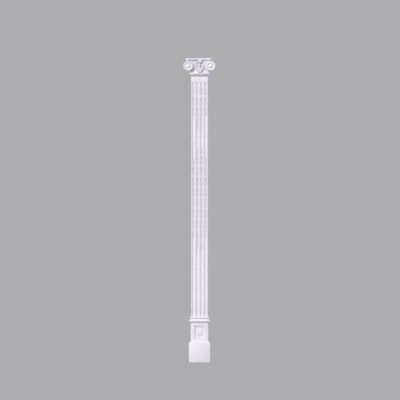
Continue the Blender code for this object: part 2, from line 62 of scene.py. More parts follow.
@dataclass(frozen=True)
class Primer:
    """White satin primer, sprayed on rigid foam castings, with painted shade in the hollows of the carving.

    Attributes:
        colour: Colour of the open faces.
        hollow: Painted shade: the colour that the deep hollows of the carving are darkened towards.
        roughness: Lowest and highest roughness.
        grain: Height of the fine spray texture.
        streaks: How many times finer the texture is across than along the height.
        patches: Factors on the colour in the darkest and the lightest patches.
        mottle: Waves in a metre and octaves of the patches.
        spray: The same for the fine texture.
        waves: The same for the slow waves of the coat, and for its roughness.
        spray_strength: Strength of the fine texture's bump.
        wave_strength: Strength of the slow waves' bump.
        specular: Specular level.
    """

    colour: tuple[float, float, float] = (0.86, 0.85, 0.87)
    # Painted shade colour that the hollows of the carving are darkened towards
    hollow: tuple[float, float, float] = (0.58, 0.57, 0.65)
    roughness: tuple[float, float] = (0.38, 0.55)
    grain: float = 0.05 * MM
    streaks: float = 1.0
    patches: tuple[float, float] = (0.975, 1.02)
    mottle: tuple[float, float] = (28, 3)
    spray: tuple[float, float] = (620, 4)
    waves: tuple[float, float] = (90, 2)
    spray_strength: float = 0.6
    wave_strength: float = 0.5
    specular: float = 0.4

    def material(self, name: str) -> bpy.types.Material:
        """Build the node tree of the finish.

        Args:
            name: Name of the material.

        Returns:
            The material, which reads object coordinates and the "hollow" attribute of painted shade.
        """
        material = bpy.data.materials.new(name)
        material.use_nodes = True
        nodes, links = material.node_tree.nodes, material.node_tree.links
        shader = nodes["Principled BSDF"]
        place = nodes.new("ShaderNodeTexCoord")
        stretch = nodes.new("ShaderNodeMapping")
        stretch.inputs["Scale"].default_value = (self.streaks, self.streaks, 1)
        links.new(place.outputs["Object"], stretch.inputs["Vector"])

        mottle = self._noise(nodes, links, place.outputs["Object"], *self.mottle)
        spray = self._noise(nodes, links, stretch.outputs["Vector"], *self.spray)
        coarse = self._noise(nodes, links, stretch.outputs["Vector"], *self.waves)

        tint = nodes.new("ShaderNodeMix")
        tint.data_type = "RGBA"
        tint.inputs["A"].default_value = (*(self.patches[0] * part for part in self.colour), 1)
        tint.inputs["B"].default_value = (*(min(1, self.patches[1] * part) for part in self.colour), 1)
        links.new(mottle, tint.inputs["Factor"])
        # Painted shade: the colour is mixed towards the hollow colour where the "hollow" attribute says the
        # carving is deep
        sunk = nodes.new("ShaderNodeAttribute")
        sunk.attribute_name = "hollow"
        painted_shade = nodes.new("ShaderNodeMix")
        painted_shade.data_type = "RGBA"
        painted_shade.inputs["B"].default_value = (*self.hollow, 1)
        links.new(sunk.outputs["Fac"], painted_shade.inputs["Factor"])
        links.new(tint.outputs["Result"], painted_shade.inputs["A"])
        links.new(painted_shade.outputs["Result"], shader.inputs["Base Color"])

        gloss = nodes.new("ShaderNodeMapRange")
        gloss.inputs["From Min"].default_value = NOISE_RANGE[0]
        gloss.inputs["From Max"].default_value = NOISE_RANGE[1]
        gloss.inputs["To Min"].default_value = self.roughness[0]
        gloss.inputs["To Max"].default_value = self.roughness[1]
        links.new(coarse, gloss.inputs["Value"])
        links.new(gloss.outputs["Result"], shader.inputs["Roughness"])

        peel = nodes.new("ShaderNodeBump")
        peel.inputs["Strength"].default_value = self.spray_strength
        peel.inputs["Distance"].default_value = self.grain
        links.new(spray, peel.inputs["Height"])
        wave = nodes.new("ShaderNodeBump")
        wave.inputs["Strength"].default_value = self.wave_strength
        wave.inputs["Distance"].default_value = 4 * self.grain
        links.new(coarse, wave.inputs["Height"])
        links.new(peel.outputs["Normal"], wave.inputs["Normal"])
        links.new(wave.outputs["Normal"], shader.inputs["Normal"])
        shader.inputs["Specular IOR Level"].default_value = self.specular
        return material

    @staticmethod
    def _noise(nodes: bpy.types.Nodes, links: bpy.types.NodeLinks, vector: bpy.types.NodeSocket,
               scale: float, detail: float) -> bpy.types.NodeSocket:
        """Add a noise texture.

        Args:
            nodes: Nodes of the material.
            links: Links of the material.
            vector: Coordinates that the noise reads.
            scale: Waves in a metre.
            detail: Octaves of finer noise.

        Returns:
            The socket with the noise value.
        """
        noise = nodes.new("ShaderNodeTexNoise")
        noise.inputs["Scale"].default_value = scale
        noise.inputs["Detail"].default_value = detail
        links.new(vector, noise.inputs["Vector"])
        return noise.outputs["Fac"]


def shaped_grid(bm: bmesh.types.BMesh, columns: int, rows: int, place: Place) -> list[bmesh.types.BMVert]:
    """Lay a grid over a surface and merge its seams and poles.

    Args:
        bm: Mesh that the surface is added to.
        columns: Faces across.
        rows: Faces along.
        place: Gives the place of a point from its shares across and along, both from 0 to 1.

    Returns:
        The grid's vertices.
    """
    verts = bmesh.ops.create_grid(bm, x_segments=columns, y_segments=rows, size=1)["verts"]
    for vert in verts:
        vert.co = place((vert.co.x + 1) / 2, (vert.co.y + 1) / 2)
    bmesh.ops.remove_doubles(bm, verts=verts, dist=WELD)
    return [vert for vert in verts if vert.is_valid]


def cap_ends(bm: bmesh.types.BMesh, verts: Sequence[bmesh.types.BMVert]) -> None:
    """Close the open rims of a surface with flat faces.

    Args:
        bm: Mesh that holds the surface.
        verts: The surface's vertices.
    """
    own = {edge for vert in verts for edge in vert.link_edges}
    rims = [edge for edge in bm.edges if edge.is_boundary and edge in own]
    if rims:
        bmesh.ops.holes_fill(bm, edges=rims, sides=0)


def stacked(bm: bmesh.types.BMesh, half: float, depth: float, bottom: float, profile: Profile) -> None:
    """Add a moulding that returns round both sides, with its back on the wall.

    Args:
        bm: Mesh that the moulding is added to.
        half: Half of the width that the steps out are counted from.
        depth: Depth that the steps out are counted from.
        bottom: Height of the moulding's foot.
        profile: Height above the foot and step out, from the foot up.
    """
    section = bmesh.ops.create_grid(bm, x_segments=1, y_segments=1, size=1)["verts"]
    face = section[0].link_faces[0]
    for vert in section:
        vert.co.y = -1 if vert.co.y < 0 else 0
    for index, (height, out) in enumerate(profile):
        if index:
            grown = bmesh.ops.extrude_face_region(bm, geom=[face])["geom"]
            if index > 1:
                bmesh.ops.delete(bm, geom=[face], context="FACES_ONLY")
            section = [item for item in grown if isinstance(item, bmesh.types.BMVert)]
            face = next(item for item in grown if isinstance(item, bmesh.types.BMFace))
        for vert in section:
            vert.co.x = math.copysign(half + out, vert.co.x)
            vert.co.y = -(depth + out) if vert.co.y < 0 else 0
            vert.co.z = bottom + height


def quarter(start: tuple[float, float], end: tuple[float, float], steps: int, upright: bool) -> Profile:
    """Points of a quarter-round or hollow between two (height, step out) points.

    Args:
        start: Lower point, which is left out.
        end: Upper point.
        steps: Segments of the curve.
        upright: Whether the curve leaves the lower point upright or level.

    Returns:
        The points after the lower one, from the lower end up.
    """
    points = []
    for step in range(1, steps + 1):
        turn = math.pi / 2 * step / steps
        rise, run = math.sin(turn), 1 - math.cos(turn)
        if not upright:
            rise, run = run, rise
        points.append((start[0] + (end[0] - start[0]) * rise, start[1] + (end[1] - start[1]) * run))
    return points


def half_round(bottom: float, height: float, inner: float, outer: float, steps: int) -> Profile:
    """Points of a half-round moulding, as (height, step out).

    Args:
        bottom: Height of its lower edge.
        height: Its own height.
        inner: Step out of both its edges.
        outer: Step out of its middle.
        steps: Segments of the curve.

    Returns:
        The points, from the lower edge up.
    """
    turns = [math.pi * step / steps for step in range(steps + 1)]
    return [(bottom + height * (1 - math.cos(turn)) / 2, inner + (outer - inner) * math.sin(turn))
            for turn in turns]


def soften(bm: bmesh.types.BMesh, offset: float, angle: float, segments: int = 2) -> None:
    """Round the sharp edges of a moulding, except those on the wall.

    Args:
        bm: Mesh of the moulding.
        offset: Width of the rounding on each side of an edge.
        angle: Least turn between the two faces, in degrees.
        segments: Segments of the rounding.
    """
    bm.normal_update()
    sharp = []
    for edge in bm.edges:
        on_wall = all(vert.co.y > -WELD for vert in edge.verts)
        if not on_wall and len(edge.link_faces) == 2 and edge.calc_face_angle(0) > math.radians(angle):
            sharp.append(edge)
    bmesh.ops.bevel(bm, geom=sharp, offset=offset, offset_type="OFFSET", segments=segments, profile=0.5,
                    affect="EDGES", clamp_overlap=True, material=-1)


def paint_hollow_shade(mesh: bpy.types.Mesh, reach: float, strength: float, rays: int = 14,
                  contrast: float = 1.4) -> None:
    """Paint shade into the carving: write how deep each vertex lies in it, as ambient occlusion, to the
    "hollow" attribute.

    Args:
        mesh: Mesh of a finished moulding.
        reach: How far away a neighbouring face still counts.
        strength: Factor on the painted shade.
        rays: Directions that are tried from each vertex.
        contrast: Power that keeps the shallow hollows light.
    """
    tree = BVHTree.FromPolygons([vert.co for vert in mesh.vertices],
                                [polygon.vertices for polygon in mesh.polygons])
    golden = math.pi * (3 - math.sqrt(5))
    fan = []
    for index in range(rays):
        lift = (index + 0.5) / rays
        flat = math.sqrt(1 - lift * lift)
        fan.append(Vector((flat * math.cos(golden * index), flat * math.sin(golden * index), lift)))
    values = []
    for vert in mesh.vertices:
        normal = vert.normal
        turn = normal.to_track_quat("Z", "Y")
        start = vert.co + normal * RAY_START
        blocked = 0.0
        for ray in fan:
            distance = tree.ray_cast(start, turn @ ray, reach)[3]
            if distance is not None:
                blocked += 1 - distance / reach
        values.append(min(1.0, strength * (blocked / rays) ** contrast))
    layer = mesh.attributes.new("hollow", "FLOAT", "POINT")
    layer.data.foreach_set("value", values)


def finish_piece(bm: bmesh.types.BMesh, name: str, primer: Primer, sharp_angle: float,
                 reach: float, strength: float) -> bpy.types.Object:
    """Turn a mesh into a dressed piece that stands for the solid of the same name.

    Args:
        bm: Mesh of the piece, which is freed.
        name: Name of the solid that it replaces.
        primer: Its finish.
        sharp_angle: Least turn that stays a sharp edge in the shading, in degrees.
        reach: How far away a neighbouring face adds painted shade to a hollow.
        strength: How strong that painted shade is.

    Returns:
        The piece.
    """
    bmesh.ops.remove_doubles(bm, verts=bm.verts, dist=WELD)
    bmesh.ops.recalc_face_normals(bm, faces=bm.faces)
    mesh = bpy.data.meshes.new(f"{name}_dressed")
    bm.to_mesh(mesh)
    bm.free()
    for polygon in mesh.polygons:
        polygon.use_smooth = True
    mesh.set_sharp_from_angle(angle=math.radians(sharp_angle))
    # Painted shade in the hollows of the carving, stored in the "hollow" attribute
    paint_hollow_shade(mesh, reach, strength)
    piece = bpy.data.objects.new(f"{name}_dressed", mesh)
    bpy.context.scene.collection.objects.link(piece)
    mesh.materials.append(primer.material(f"{name} satin primer"))
    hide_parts(name)
    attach(piece, "root")
    triangles = sum(len(polygon.vertices) - 2 for polygon in mesh.polygons)
    LOG.info("%s: %d triangles", piece.name, triangles)
    return piece


@dataclass(frozen=True)
class Station:
    """A place along a turned chain.

    Attributes:
        along: Share of a repeat, from its top.
        radius: Share of the full radius.
        lobes: Petals or streaks in a whole turn.
        depth: How deep the folds between them are, as a share of the radius.
        scallop: How far the folds hang below the tips, as a share of a repeat.
    """

    along: float
    radius: float
    lobes: int = 0
    depth: float = 0.0
    scallop: float = 0.0


def stations(*rows: tuple) -> list[Station]:
    """Stations of a chain from rows of numbers."""
    return [Station(*row) for row in rows]


@dataclass
class ShaftMoulding:
    """The flat strip with four flutes, and the chains of flowers in them.

    Attributes:
        back: Depth of the plane in which the chains are cut in half.
        fillet: Flat band between two flutes.
        head_band: Plain band above the flutes.
        head_slope: Height over which a flute runs out at its top.
        head_shape: Shares of that height, with the share of the full depth that is reached there.
        head_start: How far above it the plain front ends, as a share of that height.
        margin: Gap between a chain and its flute.
        shade_reach: How far away a neighbouring face adds painted shade to a hollow.
        shade_strength: How strong that painted shade is.
        stem_shape: Stations above the first repeat, as share of the stem, radius and lobes.
        stem_fold: How deep the folds of the stem are.
        tail_shape: Stations below the last flower, as share of the tail and radius.
        fullness: How far the section of a wide station is filled out.
        root: Half width of a chain's buried root as a share of its radius, and the root's depth as a
            share of its half width.
        rounded_from: Least turn of an edge that is rounded, in degrees.
        sharp_angle: Least turn that stays sharp in the shading, in degrees.
        streaks: How many times finer the primer's texture is across than along the shaft.
        grain: Height of its fine texture.
    """

    width: float = 94 * MM
    depth: float = 13 * MM
    length: float = 1361 * MM
    back: float = 8 * MM
    flutes: int = 4
    flute_width: float = 13.2 * MM
    flute_depth: float = 5 * MM
    fillet: float = 10 * MM
    head_band: float = 38.5 * MM
    head_slope: float = 7 * MM
    head_shape: tuple[tuple[float, float], ...] = (
        (0.0, 0.3), (0.12, 0.55), (0.3, 0.76), (0.6, 0.92), (1.0, 1.0))
    head_start: float = 0.1
    arc_steps: int = 16
    lengths: int = 12
    repeat: float = 60.4 * MM
    margin: float = 0.4 * MM
    upper_stem: float = 39.5 * MM
    upper_repeats: int = 3
    middle_top: float = 403 * MM
    middle_stem: float = 6 * MM
    middle_repeats: int = 9
    tail: float = 7 * MM
    stem_shape: tuple[tuple[float, float, int], ...] = (
        (0.03, 0.22, 0), (0.10, 0.36, 0), (0.18, 0.42, 8), (0.32, 0.50, 8), (0.50, 0.58, 8), (0.70, 0.60, 8),
        (0.86, 0.50, 8), (0.94, 0.34, 0))
    stem_fold: float = 0.12
    tail_shape: tuple[tuple[float, float], ...] = (
        (0.15, 0.56), (0.45, 0.44), (0.75, 0.24), (0.93, 0.10), (1, 0))
    fullness: float = 0.45
    root: tuple[float, float] = (0.6, 0.4)
    chain_sides: int = 24
    edge_rounding: float = 0.45 * MM
    rounded_from: float = 32
    sharp_angle: float = 40
    shade_reach: float = 7 * MM
    shade_strength: float = 1.35
    streaks: float = 6.0
    grain: float = 0.04 * MM

    def beads(self, start: float) -> list[Station]:
        """Two small beads under each other, from a place along the repeat."""
        return stations((start, 0.16), (start + 0.007, 0.32), (start + 0.018, 0.36), (start + 0.029, 0.32),
                        (start + 0.036, 0.16))

    def leafy_flower(self) -> list[Station]:
        """Open flower with curled leaf tips, and the toothed collar under it.

        Returns:
            Its stations, from the top down.
        """
        return stations(
            (0.046, 0.40, 8, 0.10, 0.020), (0.034, 0.78, 8, 0.22, 0.036), (0.038, 0.96, 8, 0.26, 0.040),
            (0.056, 1.00, 8, 0.26, 0.036), (0.076, 0.92, 8, 0.26, 0.028), (0.100, 0.88, 8, 0.26, 0.018),
            (0.125, 0.93, 8, 0.24, 0.010), (0.155, 1.00, 8, 0.22, 0.004), (0.185, 0.97, 8, 0.20, 0),
            (0.207, 0.84, 8, 0.16, 0), (0.220, 0.62, 8, 0.10, 0), (0.226, 0.60, 12, 0.04, 0),
            (0.231, 0.84, 12, 0.08, 0.010), (0.242, 0.94, 12, 0.10, 0.016), (0.256, 0.92, 12, 0.10, 0.018),
            (0.266, 0.80, 12, 0.08, 0.016), (0.270, 0.60, 12, 0.04, 0))

    def bell(self) -> list[Station]:
        """Streaked bell that narrows down to a node.

        Returns:
            Its stations, from the top down.
        """
        return stations(
            (0.276, 0.74, 12, 0.08, 0), (0.295, 0.82, 12, 0.12, 0), (0.320, 0.82, 12, 0.14, 0),
            (0.350, 0.76, 12, 0.14, 0), (0.385, 0.65, 12, 0.14, 0), (0.420, 0.51, 12, 0.12, 0),
            (0.452, 0.38, 12, 0.08, 0), (0.470, 0.32), (0.476, 0.42), (0.486, 0.52), (0.498, 0.52),
            (0.508, 0.42), (0.514, 0.30))

    def oval_flower(self) -> list[Station]:
        """Closed flower of oval petals, with the collar under it.

        Returns:
            Its stations, from the top down.
        """
        return stations(
            (0.520, 0.44, 4, 0.16, 0), (0.536, 0.68, 4, 0.26, 0), (0.558, 0.88, 4, 0.32, 0),
            (0.592, 0.95, 4, 0.34, 0), (0.628, 0.98, 4, 0.34, 0), (0.664, 0.96, 4, 0.34, 0),
            (0.696, 0.88, 4, 0.32, 0), (0.720, 0.72, 4, 0.26, 0), (0.738, 0.50, 4, 0.14, 0),
            (0.748, 0.38), (0.758, 0.42), (0.764, 0.64), (0.774, 0.76), (0.788, 0.76), (0.798, 0.66),
            (0.802, 0.52))

    def vase(self) -> list[Station]:
        """Slender vase on two beads, down to the end of the repeat.

        Returns:
            Its stations, from the top down.
        """
        return stations(
            (0.810, 0.58, 8, 0.04, 0), (0.832, 0.66, 8, 0.10, 0), (0.858, 0.62, 8, 0.12, 0),
            (0.884, 0.50, 8, 0.10, 0), (0.908, 0.38, 8, 0.06, 0), (0.926, 0.28)) + self.beads(0.930)

    def chain(self, stem: float, repeats: int) -> list[tuple[float, Station]]:
        """All stations of one chain.

        Args:
            stem: Length above the first repeat.
            repeats: Whole repeats, which a last leafy flower and a tail follow.

        Returns:
            Distance below the chain's top, and the station there.
        """
        rows: list[tuple[float, Station]] = [(0.0, Station(0, 0))]
        for share, radius, lobes in self.stem_shape:
            rows.append((share * stem, Station(share, radius, lobes, self.stem_fold if lobes else 0)))
        for index in range(repeats + 1):
            top = stem + index * self.repeat
            shapes = self.beads(0) + self.leafy_flower()
            if index < repeats:
                shapes += self.bell() + self.oval_flower() + self.vase()
            rows += [(top + shape.along * self.repeat, shape) for shape in shapes]
        end = rows[-1][0]
        for share, radius in self.tail_shape:
            rows.append((end + share * self.tail, Station(share, radius)))
        return rows

    def add_chain(self, bm: bmesh.types.BMesh, x: float, top: float, stem: float, repeats: int) -> None:
        """Add a turned chain that is flattened and sunk to half its thickness in a flute.

        Args:
            bm: Mesh of the shaft.
            x: The flute's place across the shaft.
            top: Height of the chain's top.
            stem: Length above the first repeat.
            repeats: Whole repeats.
        """
        full = self.flute_width / 2 - self.margin
        relief = (self.flute_depth - self.margin) / full
        rows = self.chain(stem, repeats)
        sides = self.chain_sides
        root_half, root_depth = self.root

        def place(across: float, along: float) -> tuple[float, float, float]:
            """Put a point on the round front of the chain, or on its root, which the last two columns make.

            Args:
                across: Share of the way round the chain, from its left edge.
                along: Share of the chain's stations.

            Returns:
                The point.
            """
            down, station = rows[round(along * (len(rows) - 1))]
            column = round(across * (sides + 3)) % (sides + 3)
            if column > sides:
                side = 1 if column == sides + 1 else -1
                sunk = root_half * station.radius * full
                return (x + side * sunk, sunk * root_depth - self.back, top - down)
            turn = math.pi * (column / sides - 0.5)
            fold = 1 - abs(math.cos(station.lobes * turn / 2)) if station.lobes else 0
            radius = station.radius * full * (1 - station.depth * fold)
            hang = station.scallop * self.repeat * fold
            lift = max(0.0, math.cos(turn)) ** (1 - self.fullness * station.radius)
            return (x + radius * math.sin(turn), -self.back - relief * radius * lift, top - down - hang)

        shaped_grid(bm, sides + 3, len(rows) - 1, place)

    def section(self, sunk: float) -> list[tuple[float, float]]:
        """Outline of the strip, from the left end of its front, as (x, y).

        Args:
            sunk: Share of the flutes' depth that they are sunk by.

        Returns:
            The points, the two on the wall last.
        """
        half = self.flute_width / 2
        radius = (half ** 2 + self.flute_depth ** 2) / (2 * self.flute_depth)
        reach = math.asin(half / radius)
        points = [(-self.width / 2, -self.depth)]
        for index in range(self.flutes):
            middle = (index - (self.flutes - 1) / 2) * (self.flute_width + self.fillet)
            for step in range(self.arc_steps + 1):
                turn = reach * (2 * step / self.arc_steps - 1)
                rise = radius * math.cos(turn) - (radius - self.flute_depth)
                points.append((middle + radius * math.sin(turn), -self.depth + sunk * rise))
        points.append((self.width / 2, -self.depth))
        return points + [(self.width / 2, 0), (-self.width / 2, 0)]

    def build(self) -> bmesh.types.BMesh:
        """Model the strip and its chains.

        Returns:
            The mesh.
        """
        bm = bmesh.new()
        order = bm.verts.layers.int.new("order")
        top, head = self.length / 2, self.length / 2 - self.head_band
        heights = [(top, 0.0), (head + self.head_start * self.head_slope, 0.0)]
        heights += [(head - share * self.head_slope, sunk) for share, sunk in self.head_shape]
        step = (head - self.head_slope + self.length / 2) / self.lengths
        heights += [(head - self.head_slope - step * count, 1.0) for count in range(1, self.lengths + 1)]
        verts = [bm.verts.new((x, y, top)) for x, y in self.section(0)]
        for number, vert in enumerate(verts):
            vert[order] = number
        face = bm.faces.new(verts)
        for index, (height, sunk) in enumerate(heights[1:]):
            grown = bmesh.ops.extrude_face_region(bm, geom=[face])["geom"]
            if index:
                bmesh.ops.delete(bm, geom=[face], context="FACES_ONLY")
            face = next(item for item in grown if isinstance(item, bmesh.types.BMFace))
            section = self.section(sunk)
            for vert in face.verts:
                x, y = section[vert[order]]
                vert.co = (x, y, height)
        bmesh.ops.recalc_face_normals(bm, faces=bm.faces)
        soften(bm, self.edge_rounding, self.rounded_from)
        for index in range(self.flutes):
            x = (index - (self.flutes - 1) / 2) * (self.flute_width + self.fillet)
            shorter = 1 if index in (0, self.flutes - 1) else 0
            self.add_chain(bm, x, head, self.upper_stem, self.upper_repeats - shorter)
            self.add_chain(bm, x, top - self.middle_top - shorter * self.repeat, self.middle_stem,
                           self.middle_repeats - 2 * shorter)
        return bm

    def dress(self) -> bpy.types.Object:
        """Build the shaft and give it its primer, with faint streaks along its length.

        Returns:
            The piece.
        """
        primer = Primer(streaks=self.streaks, grain=self.grain)
        return finish_piece(self.build(), "shaft", primer, self.sharp_angle,
                            self.shade_reach, self.shade_strength)


@dataclass
class BaseMoulding:
    """Plinth, die with a sunk and fielded panel, and the mouldings that carry the shaft.

    Attributes:
        half: Half of the width that all steps out are counted from.
        depth: Depth that they are counted from.
        top: Height of the base's top.
        weathering: Height of the slope on the plinth.
        weathering_bend: Height and step out of the slope's middle, as shares of the way to the die.
        flare_bend: Power of the curve from the lip up to the quirk.
        crown_fillet: Height over which the crown steps out.
        crown_flat: Share of the crown's height that is upright.
        panel_shape: Shares of the panel's slope and of its sinking.
        field_shape: Shares of the field's slope and of its rise.
        rounded_from: Least turn of an edge that is rounded, in degrees.
        sharp_angle: Least turn that stays sharp in the shading, in degrees.
        shade_reach: How far away a neighbouring face adds painted shade to a hollow.
        shade_strength: How strong that painted shade is.
    """

    half: float = 47 * MM
    depth: float = 17 * MM
    top: float = -680.8 * MM
    plinth_height: float = 109 * MM
    plinth_out: float = 13 * MM
    weathering: float = 10.5 * MM
    weathering_bend: tuple[float, float] = (0.5, 0.55)
    die_height: float = 104 * MM
    die_out: float = 2.5 * MM
    cove_height: float = 7 * MM
    lip_out: float = 12.8 * MM
    lip_height: float = 2 * MM
    flare_height: float = 12 * MM
    flare_bend: float = 1.22
    quirk_out: float = 4 * MM
    quirk_height: float = 3.5 * MM
    crown_out: float = 8.5 * MM
    crown_height: float = 8 * MM
    crown_fillet: float = 0.5 * MM
    crown_flat: float = 0.55
    steps: int = 8
    panel_side: float = 20 * MM
    panel_end: float = 18 * MM
    panel_slope: float = 9 * MM
    panel_sink: float = 6 * MM
    panel_shape: tuple[tuple[float, float], ...] = ((0, 0), (0.12, 0.32), (0.45, 0.72), (1, 1))
    field_margin: float = 6 * MM
    field_slope: float = 6.5 * MM
    field_rise: float = 3.5 * MM
    field_shape: tuple[tuple[float, float], ...] = ((0, 0), (0.12, 0.5), (0.5, 0.85), (1, 1))
    edge_rounding: float = 0.6 * MM
    rounded_from: float = 24
    sharp_angle: float = 40
    shade_reach: float = 14 * MM
    shade_strength: float = 1.2

    def profile(self) -> Profile:
        """Height and step out of the whole base.

        Returns:
            The points, from the foot up.
        """
        die_bottom = self.plinth_height + self.weathering
        die_top = die_bottom + self.die_height
        lip_bottom = die_top + self.cove_height
        lip_top = lip_bottom + self.lip_height
        flare_top = lip_top + self.flare_height
        quirk_top = flare_top + self.quirk_height
        crown_top = quirk_top + self.crown_height
        up, inward = self.weathering_bend
        points = [(0, self.plinth_out), (self.plinth_height, self.plinth_out),
                  (self.plinth_height + up * self.weathering,
                   (1 - inward) * self.plinth_out + inward * self.die_out),
                  (die_bottom, self.die_out), (die_top, self.die_out)]
        points += quarter(points[-1], (lip_bottom, self.lip_out), self.steps, True)
        points += [(lip_top, self.lip_out)]
        for step in range(1, self.steps + 1):
            along = step / self.steps
            out = (self.lip_out - self.quirk_out) * (1 - along) ** self.flare_bend
            points.append((lip_top + self.flare_height * along, self.quirk_out + out))
        points += [(quirk_top, self.quirk_out), (quirk_top + self.crown_fillet, self.crown_out),
                   (quirk_top + self.crown_flat * self.crown_height, self.crown_out)]
        points += quarter(points[-1], (crown_top, self.quirk_out), self.steps, True)
        return points

    def add_panel(self, bm: bmesh.types.BMesh, foot: float) -> None:
        """Sink the panel in the die's front face and raise its field.

        Args:
            bm: Mesh of the base.
            foot: Height of the base's foot.
        """
        die_bottom = foot + self.plinth_height + self.weathering
        middle = die_bottom + self.die_height / 2
        front = -(self.depth + self.die_out)
        centre = Vector((0, front, middle))
        face = min(bm.faces, key=lambda item: (item.calc_center_median() - centre).length)
        half_width = self.half + self.die_out - self.panel_side
        half_height = self.die_height / 2 - self.panel_end
        floor = front + self.panel_sink
        field = self.panel_slope + self.field_margin
        steps = [(run * self.panel_slope, front + sunk * self.panel_sink) for run, sunk in self.panel_shape]
        steps += [(field + run * self.field_slope, floor - rise * self.field_rise)
                  for run, rise in self.field_shape]
        for inset, y in steps:
            bmesh.ops.inset_individual(bm, faces=[face], thickness=1 * MM)
            for vert in face.verts:
                vert.co = (math.copysign(half_width - inset, vert.co.x), y,
                           middle + math.copysign(half_height - inset, vert.co.z - middle))

    def build(self) -> bmesh.types.BMesh:
        """Model the base.

        Returns:
            The mesh.
        """
        bm = bmesh.new()
        profile = self.profile()
        foot = self.top - profile[-1][0]
        stacked(bm, self.half, self.depth, foot, profile)
        self.add_panel(bm, foot)
        bmesh.ops.recalc_face_normals(bm, faces=bm.faces)
        soften(bm, self.edge_rounding, self.rounded_from)
        return bm

    def dress(self) -> bpy.types.Object:
        """Build the base and give it its primer."""
        return finish_piece(self.build(), "base", Primer(), self.sharp_angle,
                            self.shade_reach, self.shade_strength)


@dataclass(frozen=True)
class LeafShape:
    """An acanthus leaf that rises almost straight, swells out, and curls over at its tip.

    Attributes:
        foot: Middle of its foot.
        reach: Length of the leaf.
        width: Its full width.
        sideways: Its lean to the side, in degrees.
        lobes: Lobes on each side.
        keel: Height of a sharp ridge along its middle.
        thickness: Thickness at its foot, as a share of its length.
        body: Share of its length that rises almost straight.
        body_reach: Height of that part, as a share of the length.
        swell: How far that part stands out, as a share of the length.
        body_lean: Its lean at its top, in radians.
        curl_radius: Radius of the curl at the tip, as a share of the length.
        curl_turn: Turn of the curl, in radians.
        notch: How deep the notches between the lobes are, as a share of its half width.
        lobe_lean: How far the lobes lean back towards the foot at the edge.
        breadth: Factors on the width at the foot and at the tip.
        body_round: How full the front is, as a share of the thickness.
        rib: Height and width of the middle rib, as shares of the thickness and of the half width.
        groove: Depth, place and width of the grooves beside it, as shares of the same.
        fold: Height of the folds that run out to the lobes.
    """

    foot: tuple[float, float, float]
    reach: float
    width: float
    sideways: float
    lobes: int = 3
    keel: float = 0.0
    thickness: float = 0.06
    body: float = 0.7
    body_reach: float = 0.86
    swell: float = 0.08
    body_lean: float = 0.27
    curl_radius: float = 0.17
    curl_turn: float = 2.1
    notch: float = 0.17
    lobe_lean: float = 0.16
    breadth: tuple[float, float] = (0.85, 1.2)
    body_round: float = 0.85
    rib: tuple[float, float] = (0.16, 0.13)
    groove: tuple[float, float, float] = (0.10, 0.24, 0.10)
    fold: float = 0.34

    def middle_line(self, along: float) -> tuple[float, float, float]:
        """Follow the leaf's middle line.

        Args:
            along: Share of its length.

        Returns:
            How far it has risen there, how far it stands out, and its lean in radians.
        """
        body = min(along / self.body, 1)
        rise = self.reach * self.body_reach * body
        out = self.reach * self.swell * body ** 3
        lean = self.body_lean * body ** 2
        if along > self.body:
            lean += self.curl_turn * (along - self.body) / (1 - self.body)
            radius = self.reach * self.curl_radius
            rise += radius * (math.sin(lean) - math.sin(self.body_lean))
            out += radius * (math.cos(self.body_lean) - math.cos(lean))
        return rise, out, lean

    def add(self, bm: bmesh.types.BMesh, columns: int = 18, rows: int = 32) -> None:
        """Add the leaf as a closed shape with a ribbed front.

        Args:
            bm: Mesh that it is added to.
            columns: Faces across its front.
            rows: Faces along it.
        """
        turn = Matrix.Rotation(math.radians(self.sideways), 3, "Y")
        foot = Vector(self.foot)
        rib_height, rib_width = self.rib
        groove_depth, groove_place, groove_width = self.groove
        broad_foot, broad_tip = self.breadth

        def place(across: float, along: float) -> Vector:
            """Put a point on the front, or past half of the way across on the back.

            Args:
                across: Share of the way round the leaf, from one edge over the front and back.
                along: Share of the leaf's length.

            Returns:
                The point.
            """
            side = 1 - abs(2 * across - 1) * 2
            front = across <= 0.5
            along = 0.5 - 0.5 * math.cos(math.pi * along)
            rise, out, lean = self.middle_line(along)
            span = 2 * math.sqrt(max(0.0, along * (1 - along)))
            tip = along - self.lobe_lean * abs(side) * (1 - along)
            lobe = abs(math.cos(math.pi * self.lobes * tip)) ** 0.6
            broad = broad_foot + (broad_tip - broad_foot) * along
            half = self.width / 2 * broad * span * (1 - self.notch * (1 - lobe))
            thick = self.thickness * self.reach * (1 + along) * span
            round_off = math.sqrt(max(0.0, 1 - side * side))
            rib = rib_height * math.exp(-(side / rib_width) ** 2)
            rib -= groove_depth * math.exp(-((abs(side) - groove_place) / groove_width) ** 2)
            fold = self.fold * (lobe - 0.6) * min(1.0, 1.5 * abs(side)) * (1 - side ** 4)
            if front:
                face = thick * (self.body_round * round_off + rib + fold)
                face += self.keel * (1 - abs(side)) * span
            else:
                face = -thick * round_off
            y, z = math.cos(lean), math.sin(lean)
            return foot + turn @ Vector((side * half, -out - face * y, rise - face * z))

        cap_ends(bm, shaped_grid(bm, 2 * columns, rows, place))


class Winding(Enum):
    """Which way a scroll winds down from its top: away from the middle of the capital, or towards it."""

    OUTWARD = 1
    INWARD = -1


